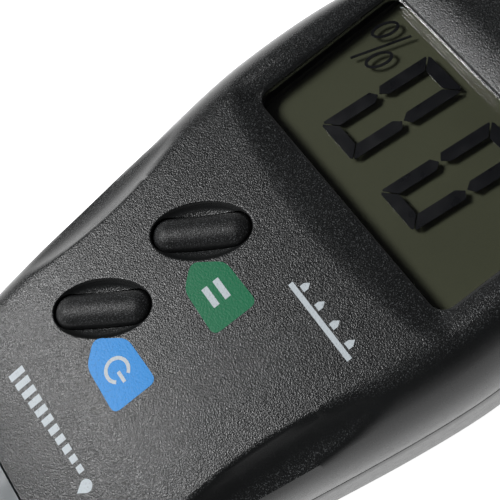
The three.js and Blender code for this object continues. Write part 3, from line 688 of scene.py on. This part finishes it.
# ---------------------------------------------------------------- printing and display segments
def decal(name, outlines, z0, z1, follow=True, step=1.0):
    """Thin closed pieces over plan outlines. They follow the face, or lie flat at given heights."""
    bm = bmesh.new()
    for outer, *holes in outlines:
        rings = [np.asarray(ring, dtype=float) for ring in (outer, *holes)]
        points = np.concatenate(rings)
        triangles = tessellate_polygon([[Vector((x, y, 0)) for x, y in ring] for ring in rings])
        verts = [bm.verts.new((x, y, 0)) for x, y in points]
        for triangle in triangles:
            bm.faces.new([verts[k] for k in triangle])
    if follow:
        ys = [v.co.y for v in bm.verts]
        for y in np.arange(math.ceil(min(ys)), max(ys), step):
            geometry = bm.verts[:] + bm.edges[:] + bm.faces[:]
            bmesh.ops.bisect_plane(bm, geom=geometry, plane_co=(0, y, 0), plane_no=(0, 1, 0))
    bmesh.ops.recalc_face_normals(bm, faces=bm.faces)
    top = bm.faces[:]
    if top[0].normal.z < 0:
        bmesh.ops.reverse_faces(bm, faces=top)
    lower = bmesh.ops.extrude_face_region(bm, geom=top)["geom"]
    moved = [g for g in lower if isinstance(g, bmesh.types.BMVert)]
    moved_set = set(moved)
    for v in bm.verts:
        base = float(face_height(v.co.y)) if follow else 0.0
        v.co.z = base + (z1 if v in moved_set else z0)
    bmesh.ops.recalc_face_normals(bm, faces=bm.faces)
    bmesh.ops.scale(bm, vec=(MM, MM, MM), verts=bm.verts)
    mesh = bpy.data.meshes.new(name)
    bm.to_mesh(mesh)
    bm.free()
    obj = bpy.data.objects.new(name, mesh)
    bpy.context.scene.collection.objects.link(obj)
    return obj


def circle(x, y, radius, sides=40):
    angles = np.linspace(0, 2 * math.pi, sides, endpoint=False)
    return np.column_stack([x + radius * np.cos(angles), y + radius * np.sin(angles)])


def rectangle(x0, x1, y0, y1):
    return np.array([(x0, y0), (x1, y0), (x1, y1), (x0, y1)], dtype=float)


def label_plan(y):
    return round_corners(np.array(LABEL) + (0, y), LABEL_CORNER)


def power_mark(x, y, radius=1.75, width=0.55):
    """An open ring with a bar standing in its gap, facing -X."""
    gap = math.radians(38)
    angles = np.linspace(gap, 2 * math.pi - gap, 40)
    outer = np.column_stack([np.cos(angles), np.sin(angles)]) * (radius + width / 2)
    inner = np.column_stack([np.cos(angles), np.sin(angles)])[::-1] * (radius - width / 2)
    ring = turned(np.concatenate([outer, inner]), 180, (x, y))
    bar = rectangle(x - radius - width * 0.7, x - 0.3, y - width / 2, y + width / 2)
    return [[ring], [bar]]


def pause_mark(x, y, reach=1.7, half_width=0.5):
    """Two bars side by side."""
    return [[rectangle(x - reach, x + reach, y + s - half_width, y + s + half_width)] for s in (-1.0, 1.0)]


def pins_mark(x0, x1, y0, y1):
    """Four downward points under a bar."""
    marks = [[rectangle(x0, x1, y1 - 0.8, y1)]]
    half, shoulder, top = 0.55, y1 - 1.9, y1 - 1.15
    for k in range(4):
        x = x0 + (x1 - x0) * (k + 0.5) / 4
        marks.append([np.array([(x - half, top), (x - half, shoulder), (x, y0), (x + half, shoulder),
                                (x + half, top)])])
    return marks


def level_mark(x0, x1, y0, y1):
    """A drop and a row of bars that grow."""
    height = y1 - y0
    r = height * 0.36
    angles = np.radians(np.linspace(-215, 35, 24))
    drop = np.column_stack([x0 + r + r * np.cos(angles), y0 + r + r * np.sin(angles)])
    drop = np.concatenate([drop, [(x0 + r, y1)]])
    marks = [[drop]]
    count, start = 11, x0 + 2 * r + 1.0
    pitch = (x1 - start) / count
    for k in range(count):
        tall = height * (0.3 + 0.7 * (k + 1) / count)
        marks.append([rectangle(start + k * pitch, start + k * pitch + pitch * 0.62, y0, y0 + tall)])
    return marks


def digit_segments(x, y):
    """The outline segments of a seven-segment nought whose top right corner is at (x, y)."""
    w, h, s, gap, clip = DIGIT_WIDTH, DIGIT_HEIGHT, STROKE, 0.13, 0.45
    half = h / 2
    top = [(clip + gap, 0), (w - clip - gap, 0), (w - gap - 0.15, -0.25), (w - s - gap, -s), (s + gap, -s),
           (gap + 0.15, -0.25)]
    upright = [(0, -clip - gap), (0.25, -gap - 0.35), (s, -s - gap), (s, -half + s * 0.62),
               (s * 0.55, -half + gap), (0, -half + s * 0.45)]
    flip_x = [(w - u, v) for u, v in upright]
    shapes = [top, upright, flip_x]
    shapes += [[(u, -h - v) for u, v in shape] for shape in shapes]
    result = []
    for shape in shapes:
        plan = np.array(shape, dtype=float)
        plan[:, 0] += DIGIT_LEAN * plan[:, 1]
        result.append([plan + (x - DIGIT_WIDTH, y)])
    return result


def percent_sign():
    """Two outlined rings and an outlined slash."""
    marks = []
    for x, y in PERCENT_RINGS:
        angles = np.linspace(0, 2 * math.pi, 40, endpoint=False)
        unit = np.column_stack([np.cos(angles), np.sin(angles)])
        rings = []
        for a, b in ((1.3, 2.15), (0.85, 1.7)):
            ring = unit * (a, b)
            ring[:, 0] += 0.25 * ring[:, 1]
            rings.append(ring + (x, y))
        marks.append(rings)
    marks.append([np.array([(18.45, -45.9), (18.8, -46.0), (15.35, -54.9), (15.0, -54.8)])])
    return marks


# ---------------------------------------------------------------- materials
class Shader:
    """A procedural material built round one Principled shader."""

    def __init__(self, name, color, roughness, metallic=0.0, specular=0.5):
        self.material = bpy.data.materials.new(name)
        self.material.use_nodes = True
        self.nodes = self.material.node_tree.nodes
        self.links = self.material.node_tree.links
        self.bsdf = self.nodes["Principled BSDF"]
        self.bsdf.inputs["Base Color"].default_value = (*color, 1)
        self.bsdf.inputs["Roughness"].default_value = roughness
        self.bsdf.inputs["Metallic"].default_value = metallic
        self.bsdf.inputs["Specular IOR Level"].default_value = specular
        self.coords = self.node("ShaderNodeTexCoord")

    def node(self, kind, inputs=(), **settings):
        node = self.nodes.new(kind)
        for key, value in settings.items():
            setattr(node, key, value)
        for key, value in dict(inputs).items():
            self.feed(node.inputs[key], value)
        return node

    def feed(self, socket, value):
        if isinstance(value, bpy.types.NodeSocket):
            self.links.new(value, socket)
        else:
            socket.default_value = value

    def noise(self, size, detail=2.0, roughness=0.5, stretch=(1, 1, 1)):
        """Noise whose blotches are about size millimetres across."""
        mapping = self.node("ShaderNodeMapping", {"Vector": self.coords.outputs["Object"], "Scale": stretch})
        noise = self.node("ShaderNodeTexNoise", {
            "Vector": mapping.outputs["Vector"], "Scale": 1 / (size * MM), "Detail": detail,
            "Roughness": roughness})
        return noise.outputs["Fac"]

    def cell_edges(self, size):
        """How far it is to the edge of a cell, in cells about size millimetres across."""
        cell = self.node("ShaderNodeTexVoronoi", {
            "Vector": self.coords.outputs["Object"], "Scale": 1 / (size * MM)}, feature="DISTANCE_TO_EDGE")
        return cell.outputs["Distance"]

    def range(self, value, low, high, to_low, to_high):
        """Maps low to high onto to_low to to_high, and holds the ends."""
        return self.node("ShaderNodeMapRange", {
            "Value": value, "From Min": low, "From Max": high, "To Min": to_low, "To Max": to_high,
        }).outputs["Result"]

    def math(self, operation, a, b):
        node = self.node("ShaderNodeMath", operation=operation)
        self.feed(node.inputs[0], a)
        self.feed(node.inputs[1], b)
        return node.outputs["Value"]

    def mix(self, factor, a, b):
        node = self.node("ShaderNodeMix", data_type="RGBA")
        self.feed(node.inputs["Factor"], factor)
        self.feed(node.inputs[6], a)
        self.feed(node.inputs[7], b)
        return node.outputs[2]

    def bump(self, height, depth, normal=None):
        """Raises the surface by depth millimetres where height is 1."""
        node = self.node("ShaderNodeBump", {"Height": height, "Distance": depth * MM, "Strength": 1.0})
        if normal is not None:
            self.feed(node.inputs["Normal"], normal)
        return node.outputs["Normal"]

    def upward(self, low, high):
        """From 0 to 1 as the surface turns to face up."""
        split = self.node("ShaderNodeSeparateXYZ", {"Vector": self.coords.outputs["Normal"]})
        return self.range(split.outputs["Z"], low, high, 0, 1)

    def set(self, **sockets):
        for name, value in sockets.items():
            self.feed(self.bsdf.inputs[name.replace("_", " ")], value)
        return self


def shade(color, factor):
    return tuple(c * factor for c in color[:3]) + (1,)


def vary(shader, color, size, spread=0.12):
    """The base colour, a little lighter and darker in patches."""
    patches = shader.noise(size, 3)
    fade = shader.range(patches, 0.35, 0.65, 0, 1)
    shader.set(Base_Color=shader.mix(fade, shade(color, 1 - spread), shade(color, 1 + spread)))


SHELL_COLOR = (0.0125, 0.0132, 0.0136)


def shell_plastic(name, color, grain=0.038, roughness=0.26, mask=(0.86, 0.94), specular=0.36):
    """Moulded plastic: a fine spark-eroded grain where it faces up, with painted glints as light specks in
    its colour, satin on the sides.
    """
    s = Shader(name, color, roughness, specular=specular)
    flat = s.upward(*mask)
    # Light specks in the colour where the surface faces up: painted glints standing in for the sparkle of
    # the grain.
    painted_glints = s.range(s.noise(0.19, 0.5, 0.5), 0.59, 0.72, 0, 1)
    patches = s.range(s.noise(9, 3), 0.35, 0.65, 0, 1)
    base = s.mix(patches, shade(color, 0.92), shade(color, 1.08))
    # The painted glints lighten the base colour 6.5 times.
    s.set(Base_Color=s.mix(s.math("MULTIPLY", painted_glints, flat), base, shade(color, 6.5)))
    coarse = s.range(s.noise(0.22, 1.5, 0.6), 0.25, 0.75, 0, 1)
    textured = s.math("MULTIPLY", coarse, flat)
    fine = s.bump(s.noise(0.5, 2, 0.5), 0.004)
    s.set(Normal=s.bump(textured, grain, fine))
    sparkle = s.range(s.noise(0.2, 1, 0.5), 0.35, 0.65, -0.08, 0.12)
    satin = s.range(s.noise(1.2, 2), 0.3, 0.7, roughness - 0.02, roughness + 0.03)
    s.set(Roughness=s.math("ADD", satin, s.math("MULTIPLY", sparkle, flat)))
    return s.material


def ink(name, color):
    """Screen-printed ink that lets the grain of the plastic show."""
    s = Shader(name, color, 0.42, specular=0.22)
    wear = s.range(s.noise(0.3, 2, 0.7), 0.28, 0.45, 0, 1)
    s.set(Base_Color=s.mix(wear, shade(color, 0.72), (*color, 1)))
    s.set(Normal=s.bump(s.noise(0.33, 1.5, 0.6), 0.035))
    return s.material


def smooth_plastic(name, color, roughness, grain=0.004, specular=0.5):
    s = Shader(name, color, roughness, specular=specular)
    vary(s, color, 12, 0.06)
    s.set(Normal=s.bump(s.noise(0.6, 2), grain))
    s.set(Roughness=s.range(s.noise(3, 2), 0.3, 0.7, roughness - 0.04, roughness + 0.05))
    return s.material


def metal(name, color, roughness, stretch=(1, 1, 1)):
    s = Shader(name, color, roughness, metallic=1.0)
    vary(s, color, 2.5, 0.1)
    brushed = s.noise(0.25, 3, 0.6, stretch)
    s.set(Roughness=s.range(brushed, 0.3, 0.7, roughness - 0.08, roughness + 0.1))
    s.set(Normal=s.bump(brushed, 0.004))
    return s.material


def clear(name, roughness):
    """A clear sheet: light and shadow pass through, and only the gloss of its surface is seen."""
    s = Shader(name, (1, 1, 1), roughness, metallic=1.0)
    gloss = s.node("ShaderNodeFresnel", {"IOR": 1.45}).outputs["Fac"]
    smears = s.range(s.noise(9, 3), 0.3, 0.7, 0.9, 1.05)
    s.set(Alpha=s.math("MINIMUM", s.math("MULTIPLY", gloss, smears), 0.4))
    s.set(Roughness=s.range(s.noise(3, 2), 0.3, 0.7, roughness, roughness + 0.05))
    return s.material


def olive_glass(name):
    """The display's back: a dull olive sheet with a very fine grain."""
    color = (0.094, 0.101, 0.060)
    s = Shader(name, color, 0.55, specular=0.15)
    speck = s.range(s.noise(0.22, 2, 0.7), 0.3, 0.7, 0, 1)
    broad = s.range(s.noise(20, 2), 0.35, 0.65, 0, 1)
    tone = s.mix(broad, shade(color, 0.93), shade(color, 1.05))
    s.set(Base_Color=s.mix(s.math("MULTIPLY", speck, 0.3), tone, shade(color, 0.7)))
    return s.material


def circuit_green(name):
    color = (0.02, 0.14, 0.05)
    s = Shader(name, color, 0.35)
    weave = s.range(s.noise(0.4, 2, 0.5, (1, 6, 1)), 0.4, 0.6, 0, 1)
    tracks = s.range(s.cell_edges(2.4), 0.1, 0.16, 1, 0)
    base = s.mix(weave, shade(color, 0.85), shade(color, 1.15))
    s.set(Base_Color=s.mix(s.math("MULTIPLY", tracks, 0.5), base, (0.05, 0.25, 0.09, 1)))
    s.set(Normal=s.bump(tracks, 0.03))
    return s.material


def battery_wrap(name):
    """A printed metal jacket: a dark band at one end and brushed silver over the rest."""
    s = Shader(name, (0.5, 0.5, 0.52), 0.35, metallic=0.6)
    split = s.node("ShaderNodeSeparateXYZ", {"Vector": s.coords.outputs["Object"]})
    band = s.range(split.outputs["Y"], -0.008, -0.0078, 1, 0)
    brushed = s.range(s.noise(0.3, 3, 0.6, (1, 0.05, 1)), 0.3, 0.7, 0, 1)
    silver = s.mix(brushed, (0.42, 0.42, 0.44, 1), (0.56, 0.56, 0.58, 1))
    s.set(Base_Color=s.mix(band, silver, (0.03, 0.05, 0.09, 1)))
    s.set(Roughness=s.range(brushed, 0, 1, 0.3, 0.42))
    return s.material


SHELL = shell_plastic("shell_plastic", SHELL_COLOR)
BUTTON = shell_plastic("button_plastic", (0.0105, 0.011, 0.0115), 0.03, 0.40, (0.5, 0.8), 0.26)
CAP = smooth_plastic("cap_plastic", (0.046, 0.062, 0.072), 0.34, specular=0.3)
INNER = smooth_plastic("inner_plastic", (0.012, 0.012, 0.013), 0.6)
BLACK = smooth_plastic("black_plastic", (0.01, 0.01, 0.01), 0.45)
RUBBER = smooth_plastic("soft_rubber", (0.06, 0.062, 0.064), 0.8)
BLUE_PART = smooth_plastic("blue_plastic", (0.03, 0.1, 0.4), 0.4)
RED_WIRE = smooth_plastic("red_wire", (0.4, 0.015, 0.012), 0.45)
STEEL = metal("steel", (0.55, 0.56, 0.58), 0.28, (1, 0.08, 1))
BRASS = metal("brass", (0.62, 0.43, 0.14), 0.32)
PANE = clear("window_acrylic", 0.06)
GLASS = clear("display_glass", 0.04)
OLIVE = olive_glass("display_olive")
SEGMENT = smooth_plastic("display_segment", (0.004, 0.0046, 0.0065), 0.3)
PRINT_WHITE = ink("print_white", (0.60, 0.66, 0.70))
PRINT_BLUE = ink("print_blue", (0.016, 0.30, 0.80))
PRINT_GREEN = ink("print_green", (0.002, 0.17, 0.07))
BOARD_GREEN = circuit_green("circuit_board")
BATTERY_WRAP = battery_wrap("battery_wrap")

CAD_MATERIALS = {
    "lcd_front_glass": GLASS, "lcd_rear_glass": OLIVE, "lcd_reflector": OLIVE,
    "lcd_frame": INNER, "zebra_strip_upper": RUBBER, "zebra_strip_lower": RUBBER,
    "circuit_board": BOARD_GREEN, "controller_chip": BLACK, "crystal_can": STEEL, "trimmer": BLUE_PART,
    "capacitor": INNER, "hold_switch": BLACK, "power_switch": BLACK, "hold_plunger": STEEL,
    "power_plunger": STEEL, "pin_block": INNER, "battery": BATTERY_WRAP, "battery_snap": BLACK,
    "battery_lead_red": RED_WIRE, "battery_lead_black": BLACK,
}
CAD_MATERIALS.update({"probe_terminal_%d" % n: BRASS for n in (1, 2, 3, 4)})
for node_name, material in CAD_MATERIALS.items():
    node = bpy.data.objects[node_name]
    for material_slot in node.material_slots:
        material_slot.material = material

# ---------------------------------------------------------------- pieces
piece(front_shell(), "case", SHELL, "front_shell")
piece(rear_shell(), "case", SHELL, "rear_shell")
piece(protective_cap(), "cap", CAP, "protective_cap")
piece(battery_door(), "door", SHELL, "battery_door")
piece(window_pane(), "case", PANE, "display_window")
for key, key_y in BUTTONS.items():
    piece(button("%s_key_top" % key, key_y), "%s_key" % key, BUTTON, "%s_button" % key)
for n, pin_x in enumerate(PIN_X, 1):
    piece(probe_pin(pin_x, n), "case", STEEL, "probe_pin_%d" % n)
for n, (screw_x, screw_y) in enumerate(SCREWS, 1):
    piece(case_screw(screw_x, screw_y, n), "case", STEEL, "case_screw_%d" % n)

piece(decal("print_hold_label", [[label_plan(LABELS["hold"])]], *INK_Z), "case", PRINT_GREEN)
piece(decal("print_power_label", [[label_plan(LABELS["power"])]], *INK_Z), "case", PRINT_BLUE)
piece(decal("print_hold_mark", pause_mark(MARK_X, LABELS["hold"]), *MARK_Z), "case", PRINT_WHITE)
piece(decal("print_power_mark", power_mark(MARK_X, LABELS["power"]), *MARK_Z), "case", PRINT_WHITE)
piece(decal("print_pins_mark", pins_mark(-19.4, -5.6, -20.1, -17.5), *INK_Z), "case", PRINT_WHITE)
piece(decal("print_level_mark", level_mark(-11.3, 11.2, 20.6, 23.3), *INK_Z), "case", PRINT_WHITE)
for n, corner in enumerate(DIGITS, 1):
    segments = decal("display_digit_%d" % n, digit_segments(*corner), *SEGMENT_Z, follow=False)
    piece(segments, "case", SEGMENT)
piece(decal("display_percent", percent_sign(), *SEGMENT_Z, follow=False), "case", SEGMENT)


# ---------------------------------------------------------------- studio
FLOOR_HALF, FLOOR_Z, FLOOR_GLOW = 1500, -0.05, 1.0
# The walls of the room are bright near the floor and dark overhead.
WALL_TOP, OVERHEAD = 0.06, 0.42
OVERHEAD_COLOR = (0.012, 0.012, 0.013, 1)
# They are brighter on the cap's side of the meter.
BRIGHT_SIDE = (0.35, 0.75, 0)
SIDE_RANGE = {"From Min": -0.8, "From Max": 0.8, "To Min": 0.25, "To Max": 1.7}
KEY_DIRECTION, KEY_DISTANCE, KEY_SIZE, KEY_POWER = (0.51, 0.47, 1), 0.9, (0.30, 0.30), 7.2


def floor():
    """A plain pale floor, bright enough to come out white."""
    plane = make_object("floor", level(FLOOR_HALF * np.array([(-1, -1), (1, -1), (1, 1), (-1, 1)]), FLOOR_Z),
                        [(0, 1, 2, 3)])
    s = Shader("floor", (0.9, 0.9, 0.9), 0.6)
    patches = s.range(s.noise(60, 2), 0.3, 0.7, 0, 1)
    s.set(Base_Color=s.mix(patches, (0.88, 0.88, 0.88, 1), (0.92, 0.92, 0.92, 1)))
    s.set(Emission_Color=(1, 1, 1, 1), Emission_Strength=FLOOR_GLOW)
    plane.data.materials.append(s.material)


def area_light(name, direction, distance, size, energy, target=(0, -10, 20)):
    """A soft box that looks at the meter from a direction, a distance away in metres."""
    light = bpy.data.lights.new(name, "AREA")
    light.shape = "RECTANGLE"
    light.size, light.size_y = size
    light.energy = energy
    obj = bpy.data.objects.new(name, light)
    aim = Vector(target) * MM
    away = Vector(direction).normalized()
    obj.location = aim + away * distance
    obj.rotation_euler = away.to_track_quat("Z", "Y").to_euler()
    bpy.context.scene.collection.objects.link(obj)


def studio():
    world = bpy.data.worlds.new("studio")
    bpy.context.scene.world = world
    world.use_nodes = True
    nodes, links = world.node_tree.nodes, world.node_tree.links
    coords = nodes.new("ShaderNodeTexCoord")
    split = nodes.new("ShaderNodeSeparateXYZ")
    ramp = nodes.new("ShaderNodeValToRGB")
    ramp.color_ramp.elements[0].position = WALL_TOP
    ramp.color_ramp.elements[0].color = (1, 1, 1, 1)
    ramp.color_ramp.elements[1].position = OVERHEAD
    ramp.color_ramp.elements[1].color = OVERHEAD_COLOR
    toward = nodes.new("ShaderNodeVectorMath")
    toward.operation = "DOT_PRODUCT"
    toward.inputs[1].default_value = BRIGHT_SIDE
    side = nodes.new("ShaderNodeMapRange")
    for socket, value in SIDE_RANGE.items():
        side.inputs[socket].default_value = value
    links.new(coords.outputs["Generated"], split.inputs["Vector"])
    links.new(split.outputs["Z"], ramp.inputs["Fac"])
    links.new(coords.outputs["Generated"], toward.inputs[0])
    links.new(toward.outputs["Value"], side.inputs["Value"])
    links.new(ramp.outputs["Color"], nodes["Background"].inputs["Color"])
    links.new(side.outputs["Result"], nodes["Background"].inputs["Strength"])
    floor()
    area_light("key", KEY_DIRECTION, KEY_DISTANCE, KEY_SIZE, KEY_POWER)


def camera():
    """A close view of the face from above its left side, turned so that the cap is at the lower left."""
    position = Vector((-56.13, -18.90, 156.33)) * MM
    right = Vector((-0.5546, -0.7885, -0.2661)).normalized()
    forward = Vector((0.4110, 0.0185, -0.9115)).normalized()
    up = right.cross(forward).normalized()
    turn = Matrix((right, up, -forward)).transposed().to_4x4()
    data = bpy.data.cameras.new("camera")
    data.sensor_width = 36
    data.lens = 72
    data.clip_start = 0.005
    obj = bpy.data.objects.new("camera", data)
    obj.matrix_world = Matrix.Translation(position) @ turn
    bpy.context.scene.collection.objects.link(obj)
    bpy.context.scene.camera = obj


studio()
camera()
bpy.context.scene.view_settings.view_transform = "Standard"
